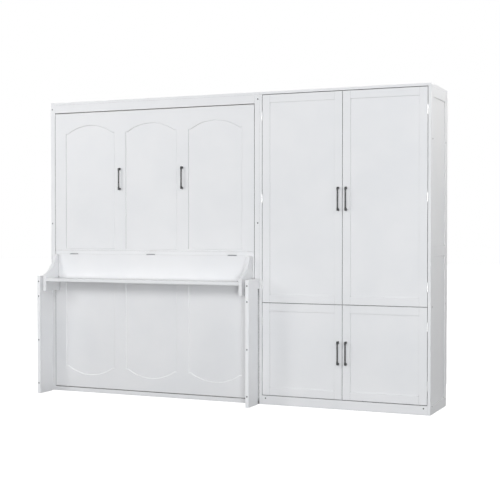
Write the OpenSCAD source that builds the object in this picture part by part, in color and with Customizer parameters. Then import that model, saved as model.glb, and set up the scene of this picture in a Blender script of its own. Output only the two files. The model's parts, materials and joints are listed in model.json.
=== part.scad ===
// Wall bed with a desk on its underside and a wardrobe beside it.
// X runs along the front, Y runs from the front towards the wall, Z is up.
// Sizes are in millimetres. The pieces are laid out from the bed cabinet's front left
// corner at floor level, and in_frame() moves them to the middle of the footprint.

/* [Cabinets] */
// Height of both cabinets
unit_h = 2150; // [1790:1:2600]
// Outside width of the bed cabinet
bed_w = 1697; // [1670:1:2050]
// Outside width of the wardrobe
ward_w = 1202; // [1000:1:1450]
// Depth of both cabinets, without the desk
cab_d = 450; // [440:1:560]
// Thickness of the bed cabinet's boards and of the shelves
board_t = 18; // [15:1:22]
// Width of the two stiles beside the bed
stile_w = 36; // [32:1:44]
// Height of the fascia above the bed
fascia_h = 59; // [40:1:80]
// Height of the toe rail below the bed
toe_h = 30; // [20:1:36]
// Gap above and below the bed front
bed_gap_z = 6; // [4:1:10]
// Gap between the bed front and each stile
bed_gap_x = 3; // [2:0.5:6]
// Depth of the notch for the room's skirting, at the sides' lower back corners
skirting_d = 15; // [8:1:20]
// Height of that notch
skirting_h = 145; // [100:1:160]
// Height of the rails that are screwed to the wall
wall_rail_h = 80; // [60:1:120]
// Radius of the wall rails' screw holes
wall_hole_r = 4; // [3:0.5:6]
// Distance between the wall rails' screw holes
wall_hole_pitch = 400; // [300:10:480]

/* [Bed] */
// Width of the mattress
mattress_w = 1524; // [1370:1:1540]
// Thickness of the bed's side rails
rail_t = 25; // [20:1:30]
// Depth of the bed's side rails behind the bed front
rail_d = 80; // [70:1:110]
// Thickness of a slat
slat_t = 12; // [10:1:18]
// Width of a slat
slat_w = 70; // [50:1:90]
// Number of slats
slat_count = 14; // [8:1:18]
// Depth of the support under the slats, behind the bed front
slat_seat = 40; // [30:1:50]
// Width of the ledges that carry the slats' ends
ledge_w = 22; // [16:1:30]
// Width of the middle beam under the slats
beam_w = 40; // [30:1:60]

/* [Bed front] */
// Width of the plain stiles between the recessed fields
field_gap = 91; // [60:1:120]
// Depth of the recessed fields
field_depth = 4; // [2:0.5:6]
// Width of the sloped edge round a field
field_slope = 5; // [2:0.5:8]
// Height of a field's arch above its shoulders
arch_rise = 57; // [30:1:90]
// Width of the flat shoulder on each side of an arch
arch_shoulder = 20; // [5:1:40]
// Distance from the arch's top to the bed front's end
arch_margin = 92; // [70:1:130]
// Distance from an upper field's straight end to the seam between the two halves
seam_margin = 10; // [6:1:30]
// Height of that seam above the desk hinges' pins
seam_rise = 26; // [10:1:60]
// Height of the bed handles' middle above the floor
bed_handle_z = 1573; // [1300:1:1650]

/* [Desk] */
// Thickness of the desk's two wings
wing_t = 25; // [18:1:30]
// Distance from the bed front's edge to a wing
wing_inset = 12; // [8:1:30]
// Height of the wings' lower ends above the floor
wing_z0 = 755; // [700:1:780]
// Height of the front edge where the wing's curve starts
wing_curve_z = 874; // [855:1:900]
// Height of the wings' top
wing_top_z = 1020; // [960:1:1060]
// Reach of the wings and the desktop in front of the cabinet
desk_reach = 184; // [150:1:260]
// Reach of a wing at its top
wing_top_reach = 50; // [30:1:90]
// Depth of the hollow of the wing's curve
wing_hollow = 25; // [5:1:30]
// Height of the desktop's upper face
desk_z = 848; // [810:1:852]
// Thickness of the desktop
desk_t = 22; // [18:1:30]
// Thickness of the board at the back of the desktop
desk_back_t = 18; // [12:1:22]
// Gap between the desk and the bed front
desk_gap = 1; // [0.5:0.5:3]
// Length of a desk hinge
desk_hinge_l = 62; // [40:1:100]
// Distance of the outer desk hinges from the middle one
desk_hinge_pitch = 645; // [400:1:700]

/* [Outer legs] */
// Thickness of an outer leg
leg_t = 25; // [18:1:32]
// Height of an outer leg
leg_h = 865; // [700:1:1000]
// Reach of an outer leg in front of the cabinet
leg_reach = 186; // [140:1:240]
// Gap between an outer leg and the cabinet, below its tab
leg_gap = 25; // [10:1:40]
// Height of the tab that joins the leg to the cabinet
leg_tab_h = 68; // [50:1:120]

/* [Wardrobe] */
// Thickness of the wardrobe's side panels
side_t = 20; // [18:1:25]
// Height of the plinth
plinth_h = 62; // [40:1:90]
// Height of the split between lower and upper doors
split_z = 702; // [500:1:900]
// Gap round the doors
door_gap = 4; // [3:0.5:6]
// Gap between a door and its hinge side, filled by the hinge leaves
hinge_gap = 3; // [3:0.5:5]
// Thickness of a door
door_t = 18; // [16:1:22]
// Width of the doors' stiles and rails
door_frame_w = 54; // [40:1:80]
// Depth of the doors' panels below their frames
door_recess = 6; // [3:0.5:8]
// Thickness of the doors' panels
door_panel_t = 8; // [6:1:9]
// Distance from the top to the upper shelf's middle
shelf_drop = 357; // [250:1:450]
// Height of the lower shelf's middle
low_shelf_z = 379; // [250:1:500]
// Width of the right side's stiles and rails
side_frame_w = 65; // [45:1:90]
// Height of the right side's middle rail, at its middle
side_mid_z = 1063; // [900:1:1200]
// Thickness of the right side's panels
side_panel_t = 8; // [6:1:10]
// Thickness of the back
back_t = 6; // [4:1:9]
// Radius of the hanging rod
rod_r = 12.5; // [10:0.5:16]

/* [Handles] */
// Length of a handle
handle_l = 160; // [100:1:200]
// Width of a handle's bar
handle_w = 9; // [7:1:12]
// Width of a handle's feet
handle_foot_w = 12; // [12:1:16]
// Reach of a handle in front of what it is screwed to
handle_reach = 24; // [20:1:40]
// Height of a handle's foot
handle_foot = 15; // [10:1:24]
// Thickness of a handle's bar
handle_bar_t = 6; // [5:1:9]
// Distance from a handle's middle line to the door's free edge
handle_inset = 26; // [20:1:34]
// Height of the upper doors' handles, at their middle
upper_handle_z = 1410; // [1000:1:1500]
// Height of the lower doors' handles, at their middle
lower_handle_z = 378; // [250:1:500]

/* [Pivot and lift] */
// Distance of the bed's pivot behind the front plane
pivot_y = 70; // [60:1:80]
// Radius of the bed's pivot pin
pivot_r = 8; // [6:0.5:9]
// Distance from the pivot to each end of a gas strut
strut_r = 270; // [220:1:280]
// Angle of a strut's cabinet end above the horizontal, seen from the pivot
strut_angle = 80; // [78:1:81]
// Radius of a strut's cylinder
strut_body_r = 10; // [8:0.5:10]
// Radius of a strut's rod
strut_rod_r = 5; // [3:0.5:6]

/* [Hidden] */
$fn = 48;

white = [0.93, 0.93, 0.94];
timber = [0.80, 0.66, 0.47];
steel = [0.62, 0.63, 0.65];
gunmetal = [0.24, 0.24, 0.26];
nylon = [0.88, 0.88, 0.84];

glue_gap = 0.1;          // between pieces that are glued or screwed face to face
cut = 1;                 // how far a cutting shape runs past the face that it cuts

// Levels and planes of the cabinets
total_w = bed_w + ward_w;
under_top = unit_h - board_t;
ward_x0 = bed_w;
ward_in0 = ward_x0 + side_t;
ward_in1 = total_w - side_t;
shelf_y0 = door_t + 2;
back_y = cab_d - skirting_d - back_t;

// The bed's front and frame
front_x0 = stile_w + bed_gap_x;
front_x1 = bed_w - front_x0;
front_z0 = toe_h + bed_gap_z;
front_z1 = under_top - fascia_h - bed_gap_z;
seam_gap = 1;
mattress_slack = 1.5;
rail_x0 = (bed_w - mattress_w) / 2 - mattress_slack - rail_t;
rail_x1 = rail_x0 + rail_t;
rail_y1 = board_t + rail_d;
slat_y0 = board_t + slat_seat;
slat_y1 = slat_y0 + slat_t;
field_w = (front_x1 - front_x0 - 4 * field_gap) / 3;
arch_chord = field_w - 2 * arch_shoulder;
arch_r = (pow(arch_chord / 2, 2) + pow(arch_rise, 2)) / (2 * arch_rise);

// The desk and its hinges
desk_hinge_r = 3.4;
desk_leaf_t = 1.6;
desk_leaf_h = 26;
desk_axis_p = desk_hinge_r + 0.1;
desk_back_z1 = wing_top_z + 2;
desk_back_p = desk_back_t + desk_gap;
desk_axis_z = desk_back_z1 + desk_axis_p;
seam_z = desk_axis_z + seam_rise;
leaf_pocket_gap = 0.3;   // round the leaves that lie behind the desk's back board
hinge_seat_edge = 8;     // of plain board below those leaves, above the lower fields
hinge_seat_h = seam_rise + desk_leaf_h + hinge_seat_edge;
wing_x0 = front_x0 + wing_inset;
wing_x1 = wing_x0 + wing_t;

// The bed turns about a pivot at such a height that the desk's wings, which stay
// upright, stand just above the floor once the bed is down.
floor_clear = 3;
pivot_z = floor_clear + desk_axis_p + pivot_y + desk_axis_z - wing_z0;
pivot_clear = 0.06;
bush_t = 3;
bush_l = 10;
plate_t = 4;
plate_edge = 30;
stud_r = 4;
stud_clear = 0.08;
stud_end = 2;
pin_in_rail = 14;

// Each strut's ends are equally far from the bed's pivot, so that its cylinder and its
// rod both turn through exactly half of the bed's angle and stay on one line.
strut_x = (board_t + plate_t + rail_x0 - plate_t) / 2;
strut_top = [pivot_y + strut_r * cos(strut_angle), pivot_z + strut_r * sin(strut_angle)];
strut_foot = [pivot_y, pivot_z - strut_r];
strut_dir = strut_foot - strut_top;
strut_tilt = atan2(-strut_dir[0], strut_dir[1]);
strut_shut_l = 2 * strut_r * sin(strut_angle / 2);
eye_r = 9;
eye_w = 12;
eye_neck_l = 22;
shut_gap = 25;
cylinder_l = strut_shut_l - 2 * eye_neck_l - shut_gap;
cylinder_end = 5;
strut_bore_r = strut_body_r - 2;
piston_l = 12;
piston_clear = 0.3;
rod_l = strut_shut_l - eye_neck_l - cylinder_end - 20;

// Doors
door_x0 = ward_in0 + hinge_gap;
door_mid = (ward_in0 + ward_in1) / 2;
meeting_gap = 3;
door_w = door_mid - meeting_gap / 2 - door_x0;
low_door_z0 = plinth_h + door_gap;
low_door_z1 = split_z - door_gap / 2;
up_door_z0 = split_z + door_gap / 2;
up_door_z1 = under_top - door_gap;
groove = 8;
hinge_l = 60;
hinge_r = 3.5;
hinge_axis_p = hinge_r + 0.3;
leaf_t = 1.2;
leaf_reach = 16;
pin_r = 1.6;
pin_clear = 0.05;
knuckle_gap = 0.3;
hinge_end = 147;
low_hinge_end = 125;

// Screws
screw_head_r = 4.5;
screw_head_t = 2.5;
screw_r = 2;
screw_clear = 0.1;
leg_screw_zs = [leg_h - 41, leg_h - 149, leg_h - 472, 75];
leg_strip_t = 18;
leg_board_p = leg_reach - leg_strip_t - glue_gap;

// Points of an arc round c from angle a0 to a1
function arc(c, r, a0, a1, n) = [for (i = [0:n]) let (a = a0 + (a1 - a0) * i / n) c + r * [cos(a), sin(a)]];

// Points of an arc from a to b that sags by s to the left of the way from a to b
function sagged_arc(a, b, s, n) =
    let (d = b - a, c = norm(d), r = (c * c / 4 + s * s) / (2 * s))
    let (centre = (a + b) / 2 + (r - s) * [d[1], -d[0]] / c)
    let (mid = atan2((a + b)[1] / 2 - centre[1], (a + b)[0] / 2 - centre[0]), half = asin(c / 2 / r))
    arc(centre, r, mid + half, mid - half, n);

module in_frame() translate([-total_w / 2, (max(desk_reach, leg_reach) - cab_d) / 2, 0]) children();

module block(x, y, z) translate([x[0], y[0], z[0]]) cube([x[1] - x[0], y[1] - y[0], z[1] - z[0]]);

// Mirrors a piece to the other side of the bed cabinet
module mirrored() translate([bed_w, 0, 0]) mirror([1, 0, 0]) children();

module both_sides() {
    children();
    mirrored() children();
}

// Turns an outline of [reach in front of the cabinet, height] into a board along X
module side_profile(x, pts) translate([x[0], 0, 0]) rotate([90, 0, 90])
    linear_extrude(x[1] - x[0]) polygon([for (p = pts) [-p[0], p[1]]]);

// A screw along +Z with its head's face at z = 0
module screw(l) {
    cylinder(r = screw_head_r, h = screw_head_t);
    cylinder(r = screw_r, h = l);
}

module screw_hole(l) {
    translate([0, 0, -cut]) cylinder(r = screw_head_r + screw_clear, h = screw_head_t + cut);
    translate([0, 0, -cut]) cylinder(r = screw_r + screw_clear, h = l + cut + screw_clear);
}

// A screw, or the hole that it sits in
module fixing(l, hole) if (hole) screw_hole(l); else screw(l);

// Cuts the notch for the room's skirting out of a side that spans x
module skirting_notch(x)
    block([x[0] - cut, x[1] + cut], [cab_d - skirting_d, cab_d + cut], [-cut, skirting_h]);

module facing_front(p) translate(p) rotate([-90, 0, 0]) children();
module facing_right(p) translate(p) rotate([0, -90, 0]) children();
module along_x(p) translate(p) rotate([0, 90, 0]) children();

// ---- Bed cabinet ----

stile_screw_drops = [48, 900];
stile_screw_l = 45;
stile_screw_x = 12;

module stile_screws(hole) for (drop = stile_screw_drops)
    facing_front([stile_screw_x, 0, unit_h - drop]) fixing(stile_screw_l, hole);

module bed_side() difference() {
    block([0, board_t], [board_t, cab_d], [0, under_top]);
    skirting_notch([0, board_t]);
    stile_screws(true);
    leg_bolt(true);
}

module bed_side_left() color(white) bed_side();
module bed_side_right() color(white) mirrored() bed_side();

module bed_stile() difference() {
    block([0, stile_w], [0, board_t], [0, under_top]);
    stile_screws(true);
    leg_bolt(true);
}

module bed_stile_left() color(white) bed_stile();
module bed_stile_right() color(white) mirrored() bed_stile();

module bed_top_board() color(white) block([0, bed_w], [0, cab_d], [under_top, unit_h]);

module cross_rail(z) block([stile_w, bed_w - stile_w], [0, board_t], z);

module bed_fascia() color(white) cross_rail([under_top - fascia_h, under_top]);
module bed_toe_rail() color(white) cross_rail([0, toe_h]);

module wall_rail(z0) difference() {
    block([board_t, bed_w - board_t], [cab_d - board_t, cab_d], [z0, z0 + wall_rail_h]);
    for (i = [-1.5:1.5])
        facing_front([bed_w / 2 + i * wall_hole_pitch, cab_d - board_t - cut, z0 + wall_rail_h / 2])
            cylinder(r = wall_hole_r, h = board_t + 2 * cut);
}

module wall_rails() color(white) {
    wall_rail(under_top - wall_rail_h);
    wall_rail(skirting_h);
}

// ---- Outer legs ----

leg_bolt_grip = 40;
leg_bolt_l = leg_reach + board_t + leg_bolt_grip;
leg_screw_l = 60;

// The top screw runs through the tab into the cabinet, the others hold the leg's front strip
module leg_fixing(i, l, hole) facing_front([leg_t / 2, -leg_reach, leg_screw_zs[i]]) fixing(l, hole);
module leg_bolt(hole) leg_fixing(0, leg_bolt_l, hole);
module leg_strip_screws(hole) for (i = [1:3]) leg_fixing(i, leg_screw_l, hole);

module outer_leg() difference() {
    union() {
        side_profile([0, leg_t], [
            [leg_gap, 0], [leg_board_p, 0], [leg_board_p, leg_h],
            [0, leg_h], [0, leg_h - leg_tab_h], [leg_gap, leg_h - leg_tab_h]
        ]);
        block([0, leg_t], [-leg_reach, leg_strip_t - leg_reach], [0, leg_h]);
    }
    leg_bolt(true);
    leg_strip_screws(true);
}

module outer_leg_left() color(white) outer_leg();
module outer_leg_right() color(white) mirrored() outer_leg();

module leg_screws() color(gunmetal) both_sides() {
    leg_bolt(false);
    leg_strip_screws(false);
}

// ---- Pivot and gas struts ----

// Plate with its four corners cut off by c
module chamfered_plate(x, y, z, c) side_profile(x, [
    [-y[0] - c, z[0]], [-y[0], z[0] + c], [-y[0], z[1] - c], [-y[0] - c, z[1]],
    [-y[1] + c, z[1]], [-y[1], z[1] - c], [-y[1], z[0] + c], [-y[1] + c, z[0]]
]);

// Plate on the cabinet's side, with the pin that the bed turns on and the strut's upper stud
module cabinet_pivot_plate() {
    x = board_t + plate_t / 2;
    chamfered_plate(
        [board_t, board_t + plate_t],
        [pivot_y - plate_edge, strut_top[0] + plate_edge],
        [pivot_z - plate_edge, strut_top[1] + plate_edge],
        12
    );
    along_x([x, pivot_y, pivot_z]) cylinder(r = pivot_r, h = rail_x0 + pin_in_rail - x);
    along_x([x, strut_top[0], strut_top[1]]) cylinder(r = stud_r, h = strut_x + eye_w / 2 + stud_end - x);
}

module cabinet_pivot_plates() color(steel) both_sides() cabinet_pivot_plate();

// Plate on the bed's rail, with a bushed bore for the pin and the strut's lower stud
module bed_pivot_plate() {
    difference() {
        chamfered_plate(
            [rail_x0 - plate_t, rail_x0],
            [pivot_y - plate_edge, rail_y1],
            [strut_foot[1] - plate_edge, pivot_z + plate_edge],
            8
        );
        along_x([rail_x0 - plate_t - cut, pivot_y, pivot_z])
            cylinder(r = pivot_r + bush_t + glue_gap, h = plate_t + 2 * cut);
    }
    along_x([rail_x0 - plate_t, pivot_y, pivot_z]) difference() {
        cylinder(r = pivot_r + bush_t, h = bush_l);
        translate([0, 0, -cut]) cylinder(r = pivot_r + pivot_clear, h = bush_l + 2 * cut);
    }
    stud_x = strut_x - eye_w / 2 - stud_end;
    along_x([stud_x, strut_foot[0], strut_foot[1]]) cylinder(r = stud_r, h = rail_x0 - plate_t / 2 - stud_x);
}

module bed_pivot_plates() color(steel) both_sides() bed_pivot_plate();

// Eye round a stud, with a neck along the strut
module strut_eye(neck_r) difference() {
    union() {
        along_x([-eye_w / 2, 0, 0]) cylinder(r = eye_r, h = eye_w);
        cylinder(r = neck_r, h = eye_neck_l);
    }
    along_x([-eye_w / 2 - cut, 0, 0]) cylinder(r = stud_r + stud_clear, h = eye_w + 2 * cut);
}

// Places a strut's piece with its eye on the stud at p and its axis along the strut
module on_stud(p, tilt) translate([strut_x, p[0], p[1]]) rotate([tilt, 0, 0]) children();

module strut_cylinder() on_stud(strut_top, strut_tilt) difference() {
    union() {
        strut_eye(strut_rod_r);
        translate([0, 0, eye_neck_l - cut]) cylinder(r = strut_body_r, h = cylinder_l + cut);
    }
    translate([0, 0, eye_neck_l + cylinder_end]) {
        cylinder(r = strut_bore_r, h = cylinder_l - 2 * cylinder_end);
        cylinder(r = strut_rod_r + pivot_clear, h = cylinder_l);
    }
}

module strut_rod() on_stud(strut_foot, strut_tilt - 180) {
    strut_eye(strut_rod_r + 2);
    translate([0, 0, eye_neck_l - cut]) cylinder(r = strut_rod_r, h = rod_l - eye_neck_l + cut);
    translate([0, 0, rod_l - piston_l]) cylinder(r = strut_bore_r - piston_clear, h = piston_l);
}

module strut_cylinder_left() color(gunmetal) strut_cylinder();
module strut_cylinder_right() color(gunmetal) mirrored() strut_cylinder();
module strut_rod_left() color(steel) strut_rod();
module strut_rod_right() color(steel) mirrored() strut_rod();

// ---- Bed ----

// How far a pocket's sloped side has spread where the cutting shape starts, in front of the board
slope_spread = field_slope * cut / field_depth;

// Section of a pocket in a front face at y = 0, from a[0] to a[1], with its sloped sides
function pocket_section(a) = [
    [a[0] - slope_spread, -cut], [a[1] + slope_spread, -cut],
    [a[1] - field_slope, field_depth], [a[0] + field_slope, field_depth]
];

module square_pocket(x, z) intersection() {
    translate([0, 0, z[0] - 2 * cut]) linear_extrude(z[1] - z[0] + 4 * cut) polygon(pocket_section(x));
    translate([x[1] + 2 * cut, 0, 0]) rotate([0, -90, 0])
        linear_extrude(x[1] - x[0] + 4 * cut) polygon(pocket_section(z));
}

// Round-topped part of a pocket: a cone whose slope matches the straight sides
module arch_pocket(x_mid, spring_z) intersection() {
    facing_front([x_mid, -cut, spring_z + arch_rise - arch_r])
        cylinder(r1 = arch_r + slope_spread, r2 = arch_r - field_slope, h = field_depth + cut, $fn = 180);
    block(
        [x_mid - field_w / 2, x_mid + field_w / 2],
        [-2 * cut, field_depth + cut],
        [spring_z - field_slope, spring_z + arch_rise + 2 * cut]
    );
}

// One field, from its straight end at z0 to its arch, in a half of length l
module field(x_mid, z0, l) {
    spring_z = l - arch_margin - arch_rise;
    square_pocket([x_mid - field_w / 2, x_mid + field_w / 2], [z0, spring_z]);
    arch_pocket(x_mid, spring_z);
}

// Half of the bed front above the seam, with fields that start at field_z0
module bed_front_half(field_z0, l) difference() {
    block([front_x0, front_x1], [0, board_t], [seam_gap / 2, l]);
    for (i = [-1:1]) field(bed_w / 2 + i * (field_w + field_gap), field_z0, l);
}

module bed_front_upper() color(white)
    translate([0, 0, seam_z]) bed_front_half(seam_margin, front_z1 - seam_z);
module bed_front_lower() color(white)
    translate([0, 0, seam_z]) mirror([0, 0, 1]) bed_front_half(hinge_seat_h, seam_z - front_z0);

module bed_rail() difference() {
    block([rail_x0, rail_x1], [board_t, rail_y1], [front_z0, front_z1]);
    along_x([rail_x0 - cut, pivot_y, pivot_z]) cylinder(r = pivot_r + bush_t + 2, h = pin_in_rail + 2 + cut);
}

module bed_rail_left() color(white) bed_rail();
module bed_rail_right() color(white) mirrored() bed_rail();

module bed_end_rails() color(white) {
    block([rail_x1, bed_w - rail_x1], [board_t, slat_y1], [front_z0, front_z0 + rail_t]);
    block([rail_x1, bed_w - rail_x1], [board_t, slat_y1], [front_z1 - rail_t, front_z1]);
}

// The length between the end rails
bay_z = [front_z0 + rail_t, front_z1 - rail_t];

module bed_middle_beam() color(timber)
    block([(bed_w - beam_w) / 2, (bed_w + beam_w) / 2], [board_t, slat_y0], bay_z);

module slat_ledges() color(timber) both_sides()
    block([rail_x1, rail_x1 + ledge_w], [slat_y0 - ledge_w, slat_y0], bay_z);

module bed_slats() color(timber) {
    x0 = rail_x1 + mattress_slack;
    pitch = (bay_z[1] - bay_z[0]) / slat_count;
    for (i = [0:slat_count - 1]) {
        z = bay_z[0] + pitch * (i + 0.5);
        block([x0, bed_w - x0], [slat_y0, slat_y1], [z - slat_w / 2, z + slat_w / 2]);
    }
}

// ---- Handles ----

handle_flare = 12;         // length over which a handle's bar widens to its feet

// A handle seen from the front: its feet are wider than its bar
module handle_front() {
    half = handle_l / 2;
    foot_z = half - handle_foot;
    side = [
        [handle_foot_w / 2, -half - cut], [handle_foot_w / 2, -foot_z],
        [handle_w / 2, handle_flare - foot_z], [handle_w / 2, foot_z - handle_flare],
        [handle_foot_w / 2, foot_z], [handle_foot_w / 2, half + cut]
    ];
    translate([0, cut, 0]) rotate([90, 0, 0]) linear_extrude(handle_reach + 2 * cut)
        polygon(concat(side, [for (i = [len(side) - 1:-1:0]) [-side[i][0], side[i][1]]]));
}

// Bowed pull: the bar turns back to the face through rounded corners at both feet
module handle(x, z) translate([x, 0, z]) intersection() {
    half = handle_l / 2;
    outer_r = 7;
    inner_p = handle_reach - handle_bar_t;
    inner_r = inner_p - 8;
    inner_z = half - handle_foot;
    handle_front();
    side_profile([-handle_foot_w / 2, handle_foot_w / 2], concat(
        [[0, -half]],
        arc([handle_reach - outer_r, outer_r - half], outer_r, -90, 0, 8),
        arc([handle_reach - outer_r, half - outer_r], outer_r, 0, 90, 8),
        [[0, half], [0, inner_z]],
        arc([inner_p - inner_r, inner_z - inner_r], inner_r, 90, 0, 8),
        arc([inner_p - inner_r, inner_r - inner_z], inner_r, 0, -90, 8),
        [[0, -inner_z]]
    ));
}

bed_handle_x = front_x0 + 1.5 * field_gap + field_w;

module bed_handle_left() color(gunmetal) handle(bed_handle_x, bed_handle_z);
module bed_handle_right() color(gunmetal) handle(bed_w - bed_handle_x, bed_handle_z);

// ---- Desk ----

desk_x = [wing_x1, bed_w - wing_x1];

module desk_wing() side_profile([wing_x0, wing_x1], concat(
    [[desk_gap, wing_z0], [desk_reach, wing_z0]],
    sagged_arc([desk_reach, wing_curve_z], [wing_top_reach, wing_top_z], wing_hollow, 20),
    [[desk_gap, wing_top_z]]
));

module desk_wing_left() color(white) desk_wing();
module desk_wing_right() color(white) mirrored() desk_wing();

module desk_top() color(white) block(desk_x, [-desk_reach, -desk_back_p], [desk_z - desk_t, desk_z]);

// The bed's hinge leaves lie in shallow pockets in the back of this board
module desk_back_board() color(white) difference() {
    block(desk_x, [-desk_back_p, -desk_gap], [desk_z - desk_t, desk_back_z1]);
    at_desk_hinges() block(
        desk_leaf_x + [-leaf_pocket_gap, leaf_pocket_gap],
        [desk_axis_p - desk_leaf_t - leaf_pocket_gap, desk_axis_p],
        [-desk_leaf_h - leaf_pocket_gap, 0]
    );
}

module at_desk_hinges() for (i = [-1:1])
    translate([bed_w / 2 + i * desk_hinge_pitch, -desk_axis_p, desk_axis_z]) children();

// Knuckle from a to b along X, as parts of the hinge's length
module desk_knuckle(r, a, b, grow) along_x([(a - 0.5) * desk_hinge_l - grow, 0, 0])
    cylinder(r = r, h = (b - a) * desk_hinge_l + 2 * grow);

desk_leaf_x = [-desk_hinge_l / 2, desk_hinge_l / 2];

module desk_hinge_bed_leaf() {
    difference() {
        union() {
            block(desk_leaf_x, [desk_axis_p - desk_leaf_t, desk_axis_p], [-desk_leaf_h, 0]);
            desk_knuckle(desk_hinge_r, 0, 1, 0);
        }
        desk_knuckle(desk_hinge_r + knuckle_gap, 1 / 3, 2 / 3, 0);
        desk_knuckle(pin_r + pin_clear, 0, 1, cut);
    }
    desk_knuckle(pin_r, 0, 1, 0);
}

module desk_hinge_bed_leaves() color(gunmetal) at_desk_hinges() desk_hinge_bed_leaf();

module desk_hinge_desk_leaf() difference() {
    union() {
        difference() {
            block(desk_leaf_x, [desk_axis_p - desk_back_p, 0], [-desk_axis_p, desk_leaf_t - desk_axis_p]);
            for (a = [0, 2 / 3]) desk_knuckle(desk_hinge_r + knuckle_gap, a, a + 1 / 3, knuckle_gap);
        }
        desk_knuckle(desk_hinge_r, 1 / 3, 2 / 3, -knuckle_gap);
    }
    desk_knuckle(pin_r + pin_clear, 0, 1, cut);
}

module desk_hinge_desk_leaves() color(gunmetal) at_desk_hinges() desk_hinge_desk_leaf();

// ---- Wardrobe ----

side_screw_y = 45;
side_screw_l = 45;
side_screw_zs = [unit_h - shelf_drop, split_z, plinth_h - board_t / 2];
plinth_screw_inset = 26;
plinth_screw_z = plinth_h - board_t / 2 - 10;
plinth_screw_l = board_t - 2;
shelf_pin_r = 2.5;
shelf_pin_l = 16;
shelf_pin_y = 40;
low_shelf_setback = 10;    // of its front edge behind the other shelves'
low_shelf_slack = 1;       // at each end, so that it lifts off its pins
shelf_pin_z = low_shelf_z - board_t / 2 - shelf_pin_r;

module side_screws(hole) for (z = side_screw_zs, y = [side_screw_y, cab_d - side_screw_y])
    facing_right([total_w, y, z]) fixing(side_screw_l, hole);

module plinth_screws(hole) for (x = [ward_in0 + plinth_screw_inset, ward_in1 - plinth_screw_inset])
    facing_front([x, 0, plinth_screw_z]) fixing(plinth_screw_l, hole);

// The lower shelf's four pins, half in the sides, grown by g for their holes
module pins(g) for (x = [ward_in0, ward_in1], y = [shelf_pin_y, cab_d - shelf_pin_y])
    along_x([x - shelf_pin_l / 2 - g, y, shelf_pin_z]) cylinder(r = shelf_pin_r + g, h = shelf_pin_l + 2 * g);

module wardrobe_side_left() color(white) difference() {
    block([ward_x0, ward_in0], [0, cab_d], [0, under_top]);
    skirting_notch([ward_x0, ward_in0]);
    pins(screw_clear);
}

side_recess = 6;

// Panels of the right side, grown by g where the frame is grooved for them
module side_panels(g) {
    x = [ward_in1 + side_recess - g, ward_in1 + side_recess + side_panel_t + g];
    y = [side_frame_w - groove - g, cab_d - side_frame_w + groove + g];
    half = side_frame_w / 2;
    block(x, y, [plinth_h - groove - g, side_mid_z - half + groove + g]);
    block(x, y, [side_mid_z + half - groove - g, under_top - side_frame_w + groove + g]);
}

module side_rail(z)
    block([ward_in1, total_w], [side_frame_w + glue_gap, cab_d - side_frame_w - glue_gap], z);

module wardrobe_side_right() color(white) {
    difference() {
        union() {
            block([ward_in1, total_w], [0, side_frame_w], [0, under_top]);
            block([ward_in1, total_w], [cab_d - side_frame_w, cab_d], [0, under_top]);
            side_rail([0, plinth_h]);
            side_rail([side_mid_z - side_frame_w / 2, side_mid_z + side_frame_w / 2]);
            side_rail([under_top - side_frame_w, under_top]);
        }
        skirting_notch([ward_in1, total_w]);
        side_panels(glue_gap);
        side_screws(true);
        pins(screw_clear);
    }
    side_panels(0);
}

module wardrobe_top() color(white) block([ward_x0, total_w], [0, cab_d], [under_top, unit_h]);

// Shelf with its front edge at y0 and its middle at height z
module shelf(y0, z, slack)
    block([ward_in0 + slack, ward_in1 - slack], [y0, back_y], [z - board_t / 2, z + board_t / 2]);

module wardrobe_base() color(white) difference() {
    shelf(board_t, plinth_h - board_t / 2, 0);
    side_screws(true);
}

module wardrobe_plinth() color(white) difference() {
    block([ward_in0, ward_in1], [0, board_t], [0, plinth_h]);
    plinth_screws(true);
}

module wardrobe_mid_shelf() color(white) difference() {
    shelf(shelf_y0, split_z, 0);
    side_screws(true);
}

module wardrobe_upper_shelf() color(white) difference() {
    shelf(shelf_y0, unit_h - shelf_drop, 0);
    side_screws(true);
}

module wardrobe_lower_shelf() color(white) shelf(shelf_y0 + low_shelf_setback, low_shelf_z, low_shelf_slack);
module shelf_pins() color(steel) pins(0);
module wardrobe_back() color(white)
    block([ward_in0, ward_in1], [back_y, back_y + back_t], [plinth_h - board_t, under_top]);

rod_y = cab_d / 2 + 10;
rod_z = unit_h - shelf_drop - 70;
rod_wall = 1.5;
rod_end_gap = 3;
socket_depth = 12;
socket_rim = 6;
rod_slack = 0.3;

module hanging_rod() color(steel) along_x([ward_in0 + rod_end_gap, rod_y, rod_z]) {
    l = ward_in1 - ward_in0 - 2 * rod_end_gap;
    difference() {
        cylinder(r = rod_r, h = l);
        translate([0, 0, -cut]) cylinder(r = rod_r - rod_wall, h = l + 2 * cut);
    }
}

// Cup with a rim round the rod's end; the right one stands deeper, in the panel's recess
module rod_socket(recess) difference() {
    cylinder(r = rod_r + socket_rim, h = recess + socket_depth);
    translate([0, 0, recess + rod_end_gap - rod_slack]) cylinder(r = rod_r + rod_slack, h = socket_depth);
}

module rod_sockets() color(steel) {
    along_x([ward_in0, rod_y, rod_z]) rod_socket(0);
    facing_right([ward_in1 + side_recess, rod_y, rod_z]) rod_socket(side_recess);
}

module face_screws() color(gunmetal) {
    both_sides() stile_screws(false);
    side_screws(false);
    plinth_screws(false);
}

// ---- Doors ----

module door_mirror() translate([2 * door_mid, 0, 0]) mirror([1, 0, 0]) children();

// Five-piece door: stiles, rails and a panel that sits in their grooves
module door(z) {
    x = [door_x0, door_x0 + door_w];
    w = door_frame_w;
    difference() {
        union() {
            block([x[0], x[0] + w], [0, door_t], z);
            block([x[1] - w, x[1]], [0, door_t], z);
            for (z0 = [z[0], z[1] - w])
                block([x[0] + w + glue_gap, x[1] - w - glue_gap], [0, door_t], [z0, z0 + w]);
        }
        door_panel(x, z, glue_gap);
    }
    door_panel(x, z, 0);
}

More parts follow.
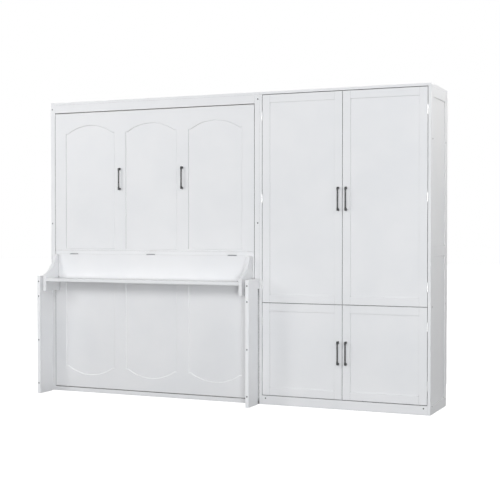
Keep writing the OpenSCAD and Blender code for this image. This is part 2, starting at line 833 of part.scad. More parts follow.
module door_panel(x, z, g) {
    in = door_frame_w - groove - g;
    block([x[0] + in, x[1] - in], [door_recess - g, door_recess + door_panel_t + g], [z[0] + in, z[1] - in]);
}

upper_z = [up_door_z0, up_door_z1];
lower_z = [low_door_z0, low_door_z1];

module upper_left_door() color(white) door(upper_z);
module upper_right_door() color(white) door_mirror() door(upper_z);
module lower_left_door() color(white) door(lower_z);
module lower_right_door() color(white) door_mirror() door(lower_z);

door_handle_x = door_x0 + door_w - handle_inset;

module upper_left_handle() color(gunmetal) handle(door_handle_x, upper_handle_z);
module upper_right_handle() color(gunmetal) door_mirror() handle(door_handle_x, upper_handle_z);
module lower_left_handle() color(gunmetal) handle(door_handle_x, lower_handle_z);
module lower_right_handle() color(gunmetal) door_mirror() handle(door_handle_x, lower_handle_z);

upper_hinge_zs = [up_door_z0 + low_hinge_end, (up_door_z0 + up_door_z1) / 2, up_door_z1 - hinge_end];
lower_hinge_zs = [low_door_z0 + low_hinge_end, low_door_z1 - low_hinge_end];

// Knuckle from a to b along Z, as parts of the hinge's length
module door_knuckle(r, a, b, grow) translate([0, 0, (a - 0.5) * hinge_l - grow])
    cylinder(r = r, h = (b - a) * hinge_l + 2 * grow);

// Leaf of a door hinge across the gap from x0, seen from the knuckle's middle
module door_leaf(x0) block([x0, x0 + leaf_t], [0, hinge_axis_p + leaf_reach], [-hinge_l / 2, hinge_l / 2]);

module at_hinges(zs) for (z = zs) translate([ward_in0 + hinge_gap / 2, -hinge_axis_p, z]) children();

module hinge_fixed_leaf() {
    difference() {
        union() {
            difference() {
                door_leaf(-hinge_gap / 2);
                door_knuckle(hinge_r + knuckle_gap, 1 / 3, 2 / 3, 0);
            }
            for (a = [0, 2 / 3]) door_knuckle(hinge_r, a, a + 1 / 3, 0);
        }
        door_knuckle(pin_r + pin_clear, 0, 1, cut);
    }
    door_knuckle(pin_r, 0, 1, 0);
}

module hinge_door_leaf() difference() {
    union() {
        difference() {
            door_leaf(hinge_gap / 2 - leaf_t);
            for (a = [0, 2 / 3]) door_knuckle(hinge_r + knuckle_gap, a, a + 1 / 3, knuckle_gap);
        }
        door_knuckle(hinge_r, 1 / 3, 2 / 3, -knuckle_gap);
    }
    door_knuckle(pin_r + pin_clear, 0, 1, cut);
}

module door_hinge_fixed_leaves() color(steel) {
    at_hinges(concat(upper_hinge_zs, lower_hinge_zs)) hinge_fixed_leaf();
    door_mirror() at_hinges(concat(upper_hinge_zs, lower_hinge_zs)) hinge_fixed_leaf();
}

module upper_left_hinge_leaves() color(steel) at_hinges(upper_hinge_zs) hinge_door_leaf();
module upper_right_hinge_leaves() color(steel) door_mirror() at_hinges(upper_hinge_zs) hinge_door_leaf();
module lower_left_hinge_leaves() color(steel) at_hinges(lower_hinge_zs) hinge_door_leaf();
module lower_right_hinge_leaves() color(steel) door_mirror() at_hinges(lower_hinge_zs) hinge_door_leaf();

// Magnet catches under the top and under the middle shelf, one behind each door
catch_size = [44, 16, 14];
catch_spacing = 80;
magnet_size = [32, 1.5, 6];

module catch(top_z) translate([-catch_size[0] / 2, shelf_y0, top_z - catch_size[2]]) difference() {
    cube(catch_size);
    translate([(catch_size[0] - magnet_size[0]) / 2, -cut, (catch_size[2] - magnet_size[2]) / 2])
        cube(magnet_size + [0, cut, 0]);
}

module door_catches() color(nylon) for (s = [-0.5, 0.5], z = [under_top, split_z - board_t / 2])
    translate([door_mid + s * catch_spacing, 0, 0]) catch(z);

in_frame() bed_side_left();
in_frame() bed_side_right();
in_frame() bed_stile_left();
in_frame() bed_stile_right();
in_frame() bed_top_board();
in_frame() bed_fascia();
in_frame() bed_toe_rail();
in_frame() wall_rails();
in_frame() outer_leg_left();
in_frame() outer_leg_right();
in_frame() leg_screws();
in_frame() face_screws();
in_frame() cabinet_pivot_plates();
in_frame() wardrobe_side_left();
in_frame() wardrobe_side_right();
in_frame() wardrobe_top();
in_frame() wardrobe_base();
in_frame() wardrobe_plinth();
in_frame() wardrobe_mid_shelf();
in_frame() wardrobe_upper_shelf();
in_frame() wardrobe_lower_shelf();
in_frame() shelf_pins();
in_frame() wardrobe_back();
in_frame() hanging_rod();
in_frame() rod_sockets();
in_frame() door_hinge_fixed_leaves();
in_frame() door_catches();
in_frame() bed_front_upper();
in_frame() bed_front_lower();
in_frame() bed_rail_left();
in_frame() bed_rail_right();
in_frame() bed_end_rails();
in_frame() bed_middle_beam();
in_frame() bed_slats();
in_frame() slat_ledges();
in_frame() bed_pivot_plates();
in_frame() bed_handle_left();
in_frame() bed_handle_right();
in_frame() desk_hinge_bed_leaves();
in_frame() desk_top();
in_frame() desk_back_board();
in_frame() desk_wing_left();
in_frame() desk_wing_right();
in_frame() desk_hinge_desk_leaves();
in_frame() upper_left_door();
in_frame() upper_right_door();
in_frame() lower_left_door();
in_frame() lower_right_door();
in_frame() upper_left_handle();
in_frame() upper_right_handle();
in_frame() lower_left_handle();
in_frame() lower_right_handle();
in_frame() upper_left_hinge_leaves();
in_frame() upper_right_hinge_leaves();
in_frame() lower_left_hinge_leaves();
in_frame() lower_right_hinge_leaves();
in_frame() strut_cylinder_left();
in_frame() strut_cylinder_right();
in_frame() strut_rod_left();
in_frame() strut_rod_right();
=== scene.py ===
# A wall bed with a desk on its underside and a wardrobe beside it, painted white.
import json
import math

import bmesh
import bpy
from mathutils import Matrix, Vector


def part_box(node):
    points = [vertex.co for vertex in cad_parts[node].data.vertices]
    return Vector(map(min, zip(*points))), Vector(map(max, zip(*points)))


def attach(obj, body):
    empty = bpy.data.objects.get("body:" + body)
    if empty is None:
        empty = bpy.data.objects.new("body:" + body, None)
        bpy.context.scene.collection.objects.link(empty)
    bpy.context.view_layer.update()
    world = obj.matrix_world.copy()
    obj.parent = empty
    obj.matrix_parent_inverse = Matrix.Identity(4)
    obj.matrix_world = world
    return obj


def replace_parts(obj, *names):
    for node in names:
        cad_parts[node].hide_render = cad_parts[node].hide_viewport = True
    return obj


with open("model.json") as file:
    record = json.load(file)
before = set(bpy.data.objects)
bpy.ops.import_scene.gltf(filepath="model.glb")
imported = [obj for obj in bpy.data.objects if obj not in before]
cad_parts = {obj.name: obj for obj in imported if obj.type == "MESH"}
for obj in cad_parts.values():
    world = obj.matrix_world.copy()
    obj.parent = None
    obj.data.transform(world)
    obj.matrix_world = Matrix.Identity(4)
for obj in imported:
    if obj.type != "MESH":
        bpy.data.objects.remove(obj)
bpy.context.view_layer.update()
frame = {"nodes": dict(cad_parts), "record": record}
record = frame["record"]
bodyOf = {node: body for body, nodes in record["behaviour"]["bodies"].items() for node in nodes}
slotOf = {part["node"]: part["material_slot"] for part in record["subparts"]}
print("frame loaded:", len(frame["nodes"]), "nodes")


class Value:  # a shader socket that adds, subtracts and multiplies as a number does
    def __init__(self, maker, socket):
        self.maker, self.socket = maker, socket

    def maths(self, kind, first, second):
        return self.maker.add("ShaderNodeMath", {"operation": kind}, first, second)

    def __add__(self, other):
        return self.maths("ADD", self, other)

    def __radd__(self, other):
        return self.maths("ADD", other, self)

    def __sub__(self, other):
        return self.maths("SUBTRACT", self, other)

    def __rsub__(self, other):
        return self.maths("SUBTRACT", other, self)

    def __mul__(self, other):
        return self.maths("MULTIPLY", self, other)

    def __rmul__(self, other):
        return self.maths("MULTIPLY", other, self)

    def orLarger(self, other):
        return self.maths("MAXIMUM", self, other)

    def unsigned(self):
        return self.maths("ABSOLUTE", self, 0.0)


class NodeMaker:  # adds nodes to the shader of a material or of the world
    def __init__(self, tree):
        self.nodes, self.links = tree.nodes, tree.links

    def feed(self, socket, value):
        if isinstance(value, Value):
            self.links.new(value.socket, socket)
        else:
            socket.default_value = value

    def add(self, kind, settings, *values, out=None, **named):
        made = self.nodes.new(kind)
        for key in settings:
            setattr(made, key, settings[key])
        live = [socket for socket in made.inputs if socket.enabled]
        for socket, value in zip(live, values):
            self.feed(socket, value)
        for socket in live:
            if socket.name in named:
                self.feed(socket, named[socket.name])
        given = [socket for socket in made.outputs if socket.enabled and out in (None, socket.name)]
        return Value(self, given[0])

    def part(self, vector, axis):
        return self.add("ShaderNodeSeparateXYZ", {}, vector, out=axis)

    def spread(self, value, low, high, most=1.0):  # takes low..high to 0..most
        return self.add("ShaderNodeMapRange", {}, value, low, high, 0.0, most)

    def ray(self, kind):  # 1 for a ray of that kind, 0 for others
        return self.add("ShaderNodeLightPath", {}, out="Is " + kind + " Ray")


class Finish(NodeMaker):  # a material and the nodes that make its finish
    def __init__(self, name, **constants):
        self.material = bpy.data.materials.new(name)
        self.material.use_nodes = True
        super().__init__(self.material.node_tree)
        self.dress(**constants)

    def dress(self, **values):
        surface = self.nodes["Principled BSDF"]
        for name, value in values.items():
            self.feed(surface.inputs[name.replace("_", " ")], value)
        return self.material

    def spot(self, stretch=(1, 1, 1)):  # object coordinates in metres
        where = self.add("ShaderNodeTexCoord", {}, out="Object")
        return self.add("ShaderNodeMapping", {}, where, Scale=stretch)

    def noise(self, where, look):
        made = self.add("ShaderNodeTexNoise", {}, Vector=where, Scale=look["scale"], Detail=look["detail"])
        return self.spread(made, *look["band"]) if "band" in look else made

    def mixed(self, factor, *ends):
        ends = [end if isinstance(end, Value) else (*end, 1) for end in ends]
        return self.add("ShaderNodeMix", {"data_type": "RGBA"}, factor, *ends)

    def bump(self, height, depth):
        return self.add("ShaderNodeBump", {}, Strength=1.0, Distance=depth, Height=height)


def shade(tone, tint=(1, 1, 1)):  # linear colour from a screen tone of 0..255
    level = tone / 255
    level = level / 12.92 if level < 0.04045 else ((level + 0.055) / 1.055) ** 2.4
    return tuple(level * part for part in tint)


def shades(look):
    return [shade(tone, tint) for tone, tint in zip(look["tones"], look["tints"])]


boardLook = {  # satin paint on board
    "tones": (237, 240),
    "tints": ((0.985, 0.99, 1.0), (0.995, 0.995, 1.0)),
    "shine": 0.3,
    "cloud": {"scale": 3.0, "detail": 3.0, "band": (0.35, 0.65)},  # a faint cloud of tone
    "skin": {"scale": 700.0, "detail": 3.0},  # as the spray leaves it
    "wave": {"scale": 26.0, "detail": 1.0},  # of the board under the paint
    "roughness": {"least": 0.38, "cloud": 0.08, "skin": 0.06},
    "relief": {"skin": 0.06, "depth": 0.0003},
    "corner": {"reach": 0.02, "room": (0.35, 0.8), "tone": 226},  # painted shade: the paint a little darker in the corners, where shade falls
    "gap": {"reach": 0.02, "room": (0.1, 0.48), "tone": 96},  # painted shade, dark grey deep in the gaps
    "slope": None,  # painted shade or painted highlight on the slopes round the fields
    "slit": None,  # painted shade in the slit behind a leg
}
slopeLook = {"outward": 0.78, "margin": 0.06, "rightward": (-0.1, 0.35)}  # shares of a slope's normal
# painted shade: dark grey in the slit behind the right leg, below its tab
slitShadeLook = {
    "reach": 0.05,
    "room": (0.45, 0.75),
    "tone": 96,
    "leg": "outer_leg_right",
    "tab": 0.069,  # down from the leg's top
    "blur": 0.002,
}


def slopesOf(paint, rightOnly):  # 1 on the slopes round the fields, or on those that face right, 0 elsewhere
    normal = paint.add("ShaderNodeTexCoord", {}, out="Normal")
    compared = (paint.part(normal, "Y").unsigned(), slopeLook["outward"], slopeLook["margin"])
    slopes = paint.add("ShaderNodeMath", {"operation": "COMPARE"}, *compared)
    if rightOnly:
        slopes = slopes * paint.spread(paint.part(normal, "X"), *slopeLook["rightward"])
    return slopes


def roomAt(paint, look):  # 0 where other boards stand close, 1 in the open
    around = paint.add("ShaderNodeAmbientOcclusion", {"samples": 8}, Distance=look["reach"], out="AO")
    return paint.spread(around, *look["room"])


def outsideSlit(paint, slit):  # 0 behind the leg, as far up as its tab, 1 elsewhere
    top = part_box(slit["leg"])[1][2] - slit["tab"]
    above = paint.spread(paint.part(paint.spot(), "Z"), top, top + slit["blur"])
    return above.orLarger(roomAt(paint, slit))


def paintedBoard(name, **changes):
    look = {**boardLook, **changes}
    paint = Finish(name, Specular_IOR_Level=look["shine"])
    where = paint.spot()
    cloud, skin, wave = [paint.noise(where, look[kind]) for kind in ("cloud", "skin", "wave")]
    colour = paint.mixed(cloud, *shades(look))
    # painted shade or painted highlight on the slopes round the fields, picked by which way they face
    if look["slope"]:
        slopes = slopesOf(paint, look["slope"]["rightOnly"])
        colour = paint.mixed(slopes, colour, shade(look["slope"]["tone"]))
    # painted shade: corners and deep gaps are painted darker where other boards stand close
    for hollow in (look["corner"], look["gap"]):
        colour = paint.mixed(roomAt(paint, hollow), shade(hollow["tone"]), colour)
    # painted shade in the slit behind the leg
    if look["slit"]:
        colour = paint.mixed(outsideSlit(paint, look["slit"]), shade(look["slit"]["tone"]), colour)
    rough, relief = look["roughness"], look["relief"]
    return paint.dress(
        Base_Color=colour,
        Roughness=rough["least"] + rough["cloud"] * cloud + rough["skin"] * skin,
        Normal=paint.bump(relief["skin"] * skin + wave, relief["depth"]),
    )


timberLook = {  # planed pine
    "tones": (226, 192),
    "tints": ((1, 0.87, 0.68), (1, 0.79, 0.54)),
    "grain": {"scale": 110.0, "detail": 5.0, "band": (0.3, 0.7)},
    "figure": {"scale": 14.0, "detail": 2.0, "band": (0.35, 0.65)},
    "pores": {"scale": 520.0, "detail": 2.0, "band": (0.55, 0.75)},
    "shares": {"grain": 0.5, "figure": 0.4, "pores": 0.1},
    "roughness": {"least": 0.55, "grain": 0.15},
    "relief": {"pores": 0.6, "depth": 0.0002},
    "along": 0.05,  # what the grain's scale is multiplied by along the piece
}


def planedTimber(name, axis):  # with its grain along that axis
    timber = Finish(name)
    stretch = [1.0, 1.0, 1.0]
    stretch[axis] = timberLook["along"]
    along = timber.spot(stretch)
    grain, figure, pores = [timber.noise(along, timberLook[kind]) for kind in ("grain", "figure", "pores")]
    shares, rough, relief = timberLook["shares"], timberLook["roughness"], timberLook["relief"]
    tone = shares["grain"] * grain + shares["figure"] * figure + shares["pores"] * pores
    return timber.dress(
        Base_Color=timber.mixed(tone, *shades(timberLook)),
        Roughness=rough["least"] + rough["grain"] * grain,
        Normal=timber.bump(grain + relief["pores"] * pores, relief["depth"]),
    )


zincLook = {  # plated steel
    "tones": (208, 228),
    "tints": ((0.98, 0.99, 1.0), (1.0, 1.0, 0.99)),
    "bloom": {"scale": 60.0, "detail": 3.0, "band": (0.3, 0.7)},
    "roughness": {"least": 0.30, "bloom": 0.16},
    "crystals": {"scale": 1500.0, "detail": 2.0},
    "depth": 0.00003,
}


def zincSteel():
    steel = Finish("zincSteel", Metallic=1.0)
    where, rough = steel.spot(), zincLook["roughness"]
    bloom = steel.noise(where, zincLook["bloom"])
    return steel.dress(
        Base_Color=steel.mixed(bloom, *shades(zincLook)),
        Roughness=rough["least"] + rough["bloom"] * bloom,
        Normal=steel.bump(steel.noise(where, zincLook["crystals"]), zincLook["depth"]),
    )


coatLook = {  # a dark coat on metal, brushed upwards
    "tint": (0.97, 0.985, 1.0),
    "metal": 0.75,
    "brush": {"scale": 2600.0, "detail": 2.0, "band": (0.3, 0.7)},
    "upright": 0.05,  # what the brush's scale is multiplied by upwards
    "roughness": {"least": 0.32, "brush": 0.12},
    "depth": 0.00003,
}


def gunmetalCoat(name, *tones):
    coat = Finish(name, Metallic=coatLook["metal"])
    brush = coat.noise(coat.spot((1, 1, coatLook["upright"])), coatLook["brush"])
    rough = coatLook["roughness"]
    return coat.dress(
        Base_Color=coat.mixed(brush, *[shade(tone, coatLook["tint"]) for tone in tones]),
        Roughness=rough["least"] + rough["brush"] * brush,
        Normal=coat.bump(brush, coatLook["depth"]),
    )


nylonLook = {
    "tones": (226, 234),
    "tints": ((1, 1, 0.97), (1, 1, 0.98)),
    "pebble": {"scale": 1400.0, "detail": 2.0},
    "roughness": {"least": 0.5, "pebble": 0.1},
    "depth": 0.00006,
}


def mouldedNylon():
    nylon = Finish("mouldedNylon")
    pebble, rough = nylon.noise(nylon.spot(), nylonLook["pebble"]), nylonLook["roughness"]
    return nylon.dress(
        Base_Color=nylon.mixed(pebble, *shades(nylonLook)),
        Roughness=rough["least"] + rough["pebble"] * pebble,
        Normal=nylon.bump(pebble, nylonLook["depth"]),
    )


finishes = {
    "white_board": paintedBoard("whitePaint"),
    # the upper front's right-facing slopes get a painted shade line, the lower front's slopes a painted
    # highlight
    "bed_front_upper": paintedBoard("upperFrontPaint", slope={"tone": 209, "rightOnly": True}),
    "bed_front_lower": paintedBoard("lowerFrontPaint", slope={"tone": 242, "rightOnly": False}),
    "bed_stile_right": paintedBoard("rightStilePaint", slit=slitShadeLook),
    # painted light: the legs' paint is lighter than the other boards', standing in for light on their faces
    "outer_leg_left": paintedBoard("leftLegPaint", tones=(248, 251)),
    "outer_leg_right": paintedBoard("rightLegPaint", tones=(245, 248)),
    "steel": zincSteel(),
    "deskHinges": gunmetalCoat("wornCoat", 132, 162),
    "gunmetal": gunmetalCoat("gunmetalCoat", 54, 80),
    "screws": gunmetalCoat("blackenedSteel", 14, 26),
    "nylon": mouldedNylon(),
}
timberNames = ("pineAcross", "pineDeep", "pineUpright")  # with its grain along X, Y and Z
timberFinishes = [planedTimber(name, axis) for axis, name in enumerate(timberNames)]
print("finishes made:", len(finishes) + len(timberFinishes))


mending = {
    "merge": 0.00001,
    "sliver": 0.000001,
    "flat": math.radians(1),
    "corner": math.radians(38),
    "crisp": math.radians(30),
}
easing = {  # rounding of a piece's corners, by what it is made of
    "white_board": {"width": 0.0009, "rows": 2},
    "timber": {"width": 0.0015, "rows": 2},
    "steel": {"width": 0.00025, "rows": 2},
    "gunmetal": {"width": 0.00025, "rows": 2},
    "nylon": {"width": 0.0005, "rows": 2},
    "pull": {"width": 0.0016, "rows": 4},
    "leaf": {"width": 0.00012, "rows": 2},
}


def mergedCopy(node):  # a CAD node's triangles as whole faces
    shape = bmesh.new()
    shape.from_mesh(frame["nodes"][node].data)
    bmesh.ops.remove_doubles(shape, verts=shape.verts, dist=mending["merge"])
    bmesh.ops.dissolve_limit(shape, angle_limit=mending["flat"], verts=shape.verts, edges=shape.edges)
    return shape


def easeCorners(shape, look):
    corners = [edge for edge in shape.edges if edge.is_convex and edge.calc_face_angle(0) > mending["corner"]]
    bmesh.ops.bevel(shape, geom=corners, offset=look["width"], offset_type="OFFSET", segments=look["rows"],
                    profile=0.5, affect="EDGES", clamp_overlap=False, material=-1)
    bmesh.ops.dissolve_degenerate(shape, dist=mending["sliver"], edges=shape.edges)


def spanOf(verts):
    spots = [vert.co for vert in verts]
    low = Vector([min(spot[axis] for spot in spots) for axis in range(3)])
    high = Vector([max(spot[axis] for spot in spots) for axis in range(3)])
    return low, high


def solidsOf(shape):  # the separate solids in a mesh, from the left
    left, solids = set(shape.verts), []
    while left:
        solid, front = [], [left.pop()]
        while front:
            vert = front.pop()
            solid.append(vert)
            near = {link.other_vert(vert) for link in vert.link_edges} & left
            left -= near
            front += near
        solids.append(solid)
    return sorted(solids, key=lambda solid: tuple(spanOf(solid)[0]))


def longestAxis(low, high):
    return max(range(3), key=lambda axis: high[axis] - low[axis])


def finishFor(node, shape):  # a node's own finish, else its slot's; the grain runs along its first solid
    own = "deskHinges" if node.startswith("desk_hinge") else node
    if own in finishes:
        return finishes[own]
    if slotOf[node] == "timber":
        return timberFinishes[longestAxis(*spanOf(solidsOf(shape)[0]))]
    return finishes[slotOf[node]]


def asPiece(shape, name, body, finish):
    for face in shape.faces:
        face.smooth = True
    for edge in shape.edges:
        edge.smooth = edge.calc_face_angle(0) < mending["crisp"]
    mesh = bpy.data.meshes.new(name)
    shape.to_mesh(mesh)
    shape.free()
    mesh.materials.append(finish)
    piece = bpy.data.objects.new(name, mesh)
    bpy.context.collection.objects.link(piece)
    evenShading = piece.modifiers.new("evenShading", "WEIGHTED_NORMAL")
    evenShading.keep_sharp = True
    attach(piece, body)
    return piece


def standFor(node, shape, finish):  # the shape takes the node's place, name and body
    words = node.split("_")
    name = words[0] + "".join(word.capitalize() for word in words[1:])
    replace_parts(asPiece(shape, name, bodyOf[node], finish), node)


screwNodes = [node for node in frame["nodes"] if node.endswith("_screws")]
pullNodes = [node for node in frame["nodes"] if "handle" in node]
leafNodes = [node for node in frame["nodes"] if "hinge" in node]

for node in frame["nodes"]:
    if node in screwNodes:
        continue
    shape = mergedCopy(node)
    finish = finishFor(node, shape)
    kind = "pull" if node in pullNodes else "leaf" if node in leafNodes else slotOf[node]
    easeCorners(shape, easing[kind])
    standFor(node, shape, finish)
print("corners eased on", len(frame["nodes"]) - len(screwNodes), "nodes")


screwLook = {"sides": 24, "cuts": 3}  # round the head, and in each side of the socket
cabinetScrew = {
    "socket": 0.0021,
    "sunk": 0.0016,
    "edge": 0.0041,
    "head": 0.0045,
    "lip": 0.0004,
    "thick": 0.0025,
    "shank": 0.0020,
    "tip": 0.0030,
    "point": 1 / 3,  # of the shank
}
pullScrew = {
    "socket": 0.0015,
    "sunk": 0.0012,
    "rings": ((0.0024, 0.0019), (0.0034, 0.0014), (0.0039, 0.0006), (0.0039, 0.0)),
    "inset": 0.0075,  # from the ends of the pull
}
leafScrew = {
    "socket": 0.0009,
    "sunk": 0.0001,
    "rings": ((0.0018, 0.0002), (0.0024, 0.00015), (0.0027, 0.0)),
    "inset": 0.0055,  # from the leaf's back edge
    "spread": 0.019,
    "face": 0.0003,  # from the middle of the leaf's thickness
}


def nextRing(part, loop, grow, drop):  # draws the loop out to a wider or narrower one, and returns that
    made = bmesh.ops.extrude_edge_only(part, edges=loop)["geom"]
    verts = [item for item in made if isinstance(item, bmesh.types.BMVert)]
    bmesh.ops.scale(part, vec=(grow, grow, 1), verts=verts)
    bmesh.ops.translate(part, vec=(0, 0, drop), verts=verts)
    edges = [item for item in made if isinstance(item, bmesh.types.BMEdge)]
    return [edge for edge in edges if all(vert in verts for vert in edge.verts)]


def turnedScrew(look, rings):  # a hexagon socket in a round head, then rings of (radius, height)
    part = bmesh.new()
    bmesh.ops.create_circle(part, segments=6, radius=look["socket"])
    bmesh.ops.subdivide_edges(part, edges=part.edges[:], cuts=screwLook["cuts"])
    bmesh.ops.translate(part, vec=(0, 0, rings[0][1]), verts=part.verts)
    hexagon = part.edges[:]
    bmesh.ops.edgeloop_fill(part, edges=nextRing(part, hexagon, 1.0, -look["sunk"]))
    rim = bmesh.ops.create_circle(part, segments=screwLook["sides"], radius=rings[0][0])["verts"]
    bmesh.ops.translate(part, vec=(0, 0, rings[0][1]), verts=rim)
    loop = [edge for edge in part.edges if all(vert in rim for vert in edge.verts)]
    bmesh.ops.bridge_loops(part, edges=hexagon + loop)
    for (radius, height), (wider, lower) in zip(rings, rings[1:]):
        loop = nextRing(part, loop, wider / radius, lower - height)
    bmesh.ops.edgeloop_fill(part, edges=loop)
    bmesh.ops.recalc_face_normals(part, faces=part.faces)
    return part


def setIn(whole, part, point, outward):  # adds the part to the whole with its face at the point
    place = Matrix.Translation(point) @ Vector(outward).to_track_quat("Z", "Y").to_matrix().to_4x4()
    bmesh.ops.transform(part, matrix=place, verts=part.verts)
    carrier = bpy.data.meshes.new("carrier")
    part.to_mesh(carrier)
    part.free()
    whole.from_mesh(carrier)
    bpy.data.meshes.remove(carrier)


def distanceFrom(axis, away):
    return math.hypot(*[away[side] for side in range(3) if side != axis])


for node in screwNodes:
    look, copy, screws = cabinetScrew, mergedCopy(node), bmesh.new()
    for solid in solidsOf(copy):
        low, high = spanOf(solid)
        axis = longestAxis(low, high)
        middle, width = (low + high) / 2, {}
        for end in (low[axis], high[axis]):
            around = [vert.co - middle for vert in solid if abs(vert.co[axis] - end) < mending["merge"]]
            width[end] = max(distanceFrom(axis, away) for away in around)
        face = max(width, key=width.get)  # the head's end is the wider one
        outward = [0, 0, 0]
        outward[axis] = 1 if face > middle[axis] else -1
        length = high[axis] - low[axis]
        middle[axis] = face
        rings = (
            (look["edge"], 0),
            (look["head"], -look["lip"]),
            (look["head"], -look["thick"]),
            (look["shank"], -look["thick"]),
            (look["shank"], look["tip"] - length),
            (look["shank"] * look["point"], -length),
        )
        setIn(screws, turnedScrew(look, rings), middle, outward)
    copy.free()
    standFor(node, screws, finishes["screws" if slotOf[node] == "gunmetal" else slotOf[node]])

for node in pullNodes:  # the screws that hold a pull, on the back of its door or of the bed's front
    door = node.replace("handle", "door")
    low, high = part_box(node)
    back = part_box(door if door in frame["nodes"] else "bed_front_upper")[1][1]
    screws = bmesh.new()
    for height in (low[2] + pullScrew["inset"], high[2] - pullScrew["inset"]):
        point = ((low[0] + high[0]) / 2, back, height)
        setIn(screws, turnedScrew(pullScrew, pullScrew["rings"]), point, (0, 1, 0))
    asPiece(screws, "screwsOf." + node, bodyOf[node], finishes["steel"])

for node in leafNodes:  # three flat screws in each leaf of the door hinges
    if node.startswith("desk"):
        continue
    copy, screws = mergedCopy(node), bmesh.new()
    doorMiddle = sum(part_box("wardrobe_base")[side][0] for side in (0, 1)) / 2
    for solid in solidsOf(copy):
        low, high = spanOf(solid)
        if high[1] - low[1] < 2 * leafScrew["inset"]:
            continue  # a pin
        middle = (low + high) / 2
        towards = (1 if middle[0] < doorMiddle else -1) * (1 if "fixed" in node else -1)
        for rise in (-leafScrew["spread"], 0, leafScrew["spread"]):
            point = (middle[0] - towards * leafScrew["face"], high[1] - leafScrew["inset"], middle[2] + rise)
            setIn(screws, turnedScrew(leafScrew, leafScrew["rings"]), point, (towards, 0, 0))
    copy.free()
    asPiece(screws, "screwsOf." + node, bodyOf[node], finishes["steel"])
print("screws turned")


floorLook = {"size": 60.0, "drop": 0.001, "groundTone": 90, "whiteTone": 178, "glow": 0.88, "roughness": 0.9}
underBed = {  # how far inside the bed cabinet's faces the floor's shade begins and is full
    "left": (0.0095, 0.0195),
    "right": (0.0075, 0.0175),
    "front": (0.005, 0.01),
    "back": (0.018, 0.198),
}


def shadeUnderBed(ground):  # 1 on the floor under the bed cabinet, 0 beside it
    (left, front, _), (right, back, _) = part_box("bed_top_board")
    spot = ground.spot()
    across, deep = ground.part(spot, "X"), ground.part(spot, "Y")
    return (
        ground.spread(across, *[left + inside for inside in underBed["left"]])
        * ground.spread(across, *[right - inside for inside in underBed["right"]])
        * ground.spread(deep, *[front + inside for inside in underBed["front"]])
        * ground.spread(deep, *[back - inside for inside in underBed["back"]])
    )


def floorFinish():  # white to the camera, mirrors and glass; a dark grey that takes the shadow to the rest
    ground = Finish("stageWhite", Roughness=floorLook["roughness"])
    direct = ground.ray("Camera").orLarger(ground.ray("Transmission"))
    white = direct.orLarger(ground.ray("Glossy")) * (1 - shadeUnderBed(ground))
    return ground.dress(
        Base_Color=ground.mixed(direct, shade(floorLook["groundTone"]), shade(floorLook["whiteTone"])),
        Emission_Color=ground.mixed(white, (0, 0, 0), (floorLook["glow"],) * 3),
        Emission_Strength=1.0,
    )


shape = bmesh.new()
bmesh.ops.create_grid(shape, x_segments=1, y_segments=1, size=floorLook["size"] / 2)
bmesh.ops.translate(shape, vec=(0, 0, -floorLook["drop"]), verts=shape.verts)
mesh = bpy.data.meshes.new("studioFloor")
shape.to_mesh(mesh)
shape.free()
mesh.materials.append(floorFinish())
studioFloor = bpy.data.objects.new("studioFloor", mesh)
bpy.context.collection.objects.link(studioFloor)

skyLook = {"glow": 0.664, "tint": (0.965, 0.975, 1.0)}

world = bpy.data.worlds.new("studioWorld")
world.use_nodes = True
bpy.context.scene.world = world
sky = NodeMaker(world.node_tree)
height = sky.part(sky.add("ShaderNodeTexCoord", {}, out="Generated"), "Z")
glow = sky.spread(height, 1.0, 0.0, skyLook["glow"])  # brightest at the horizon, dark overhead
plain = sky.add("ShaderNodeBackground", {}, (*skyLook["tint"], 1), glow)
white = sky.add("ShaderNodeBackground", {}, (1, 1, 1, 1), 1.0)
seen = sky.ray("Camera").orLarger(sky.ray("Glossy").orLarger(sky.ray("Transmission")))
sky.feed(sky.nodes["World Output"].inputs["Surface"], sky.add("ShaderNodeMixShader", {}, seen, plain, white))

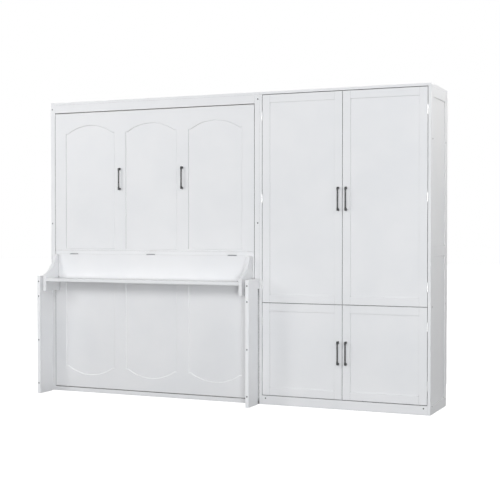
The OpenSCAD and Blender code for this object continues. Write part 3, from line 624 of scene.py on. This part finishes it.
lampTints = {
    "cold": (0.95, 0.975, 1.0),
    "cool": (0.98, 0.985, 1.0),
    "plain": (1.0, 1.0, 1.0),
    "warm": (1.0, 0.99, 0.97),
}
lampLook = {
    "key": {"at": (0.5, -8.0, 4.0), "aim": (0, 0, 1.0), "size": 2.5, "watts": 124, "tint": "cool"},
    "low": {"at": (3.5, -6.5, 0.8), "aim": (0, 0, 1.0), "size": 2.0, "watts": 180, "tint": "cold"},
    "nearLeft": {"at": (-3.5, -3.5, 2.2), "aim": (-0.8, 0, 1.4), "size": 1.2, "watts": 30, "tint": "plain"},
    "highLeft": {"at": (-2.8, -3.0, 2.4), "aim": (-1.0, 0, 1.4), "size": 1.4, "watts": 14, "tint": "plain"},
    "farRight": {"at": (6.5, -3.0, 5.0), "aim": (1.4, 0, 1.2), "size": 2.0, "watts": 60, "tint": "plain"},
    "sideTop": {"at": (2.4, 0.1, 3.2), "aim": (1.45, 0, 1.6), "size": 0.6, "watts": 6.8, "tint": "warm"},
    "sideLow": {"at": (3.2, 0.3, 2.2), "aim": (1.45, 0, 1.4), "size": 0.8, "watts": 6.3, "tint": "warm"},
    "behind": {"at": (1.0, 7.5, 4.0), "aim": (0, 0, 1.0), "size": 2.5, "watts": 200, "tint": "plain"},
    "above": {"at": (0.0, 1.1, 6.2), "aim": (0.0, 0.1, 2.15), "size": 2.0, "watts": 62, "tint": "plain"},
    "leftSide": {"at": (-7.5, 1.6, 2.6), "aim": (-1.4, 0.1, 1.2), "size": 2.0, "watts": 110, "tint": "plain"},
}

for name, look in lampLook.items():
    lamp = bpy.data.lights.new(name + "Lamp", "AREA")
    lamp.shape = "DISK"
    lamp.size = look["size"]
    lamp.energy = look["watts"]
    lamp.color = lampTints[look["tint"]]
    holder = bpy.data.objects.new(name + "Lamp", lamp)
    bpy.context.collection.objects.link(holder)
    holder.location = look["at"]
    holder.visible_camera = False
    holder.rotation_euler = (Vector(look["aim"]) - Vector(look["at"])).to_track_quat("-Z", "Y").to_euler()

photoCamera = {"at": (3.1745, -7.028, 1.204), "turn": 23.49, "tilt": -1.07, "lens": 78.29, "sensor": 36.0}

lens = bpy.data.cameras.new("photoCamera")
lens.lens = photoCamera["lens"]
lens.sensor_width = photoCamera["sensor"]
eye = bpy.data.objects.new("photoCamera", lens)
bpy.context.collection.objects.link(eye)
eye.location = photoCamera["at"]
eye.rotation_euler = (math.radians(90 + photoCamera["tilt"]), 0, math.radians(photoCamera["turn"]))
bpy.context.scene.camera = eye
bpy.context.scene.view_settings.view_transform = "Standard"
print("stage, lamps and camera set")
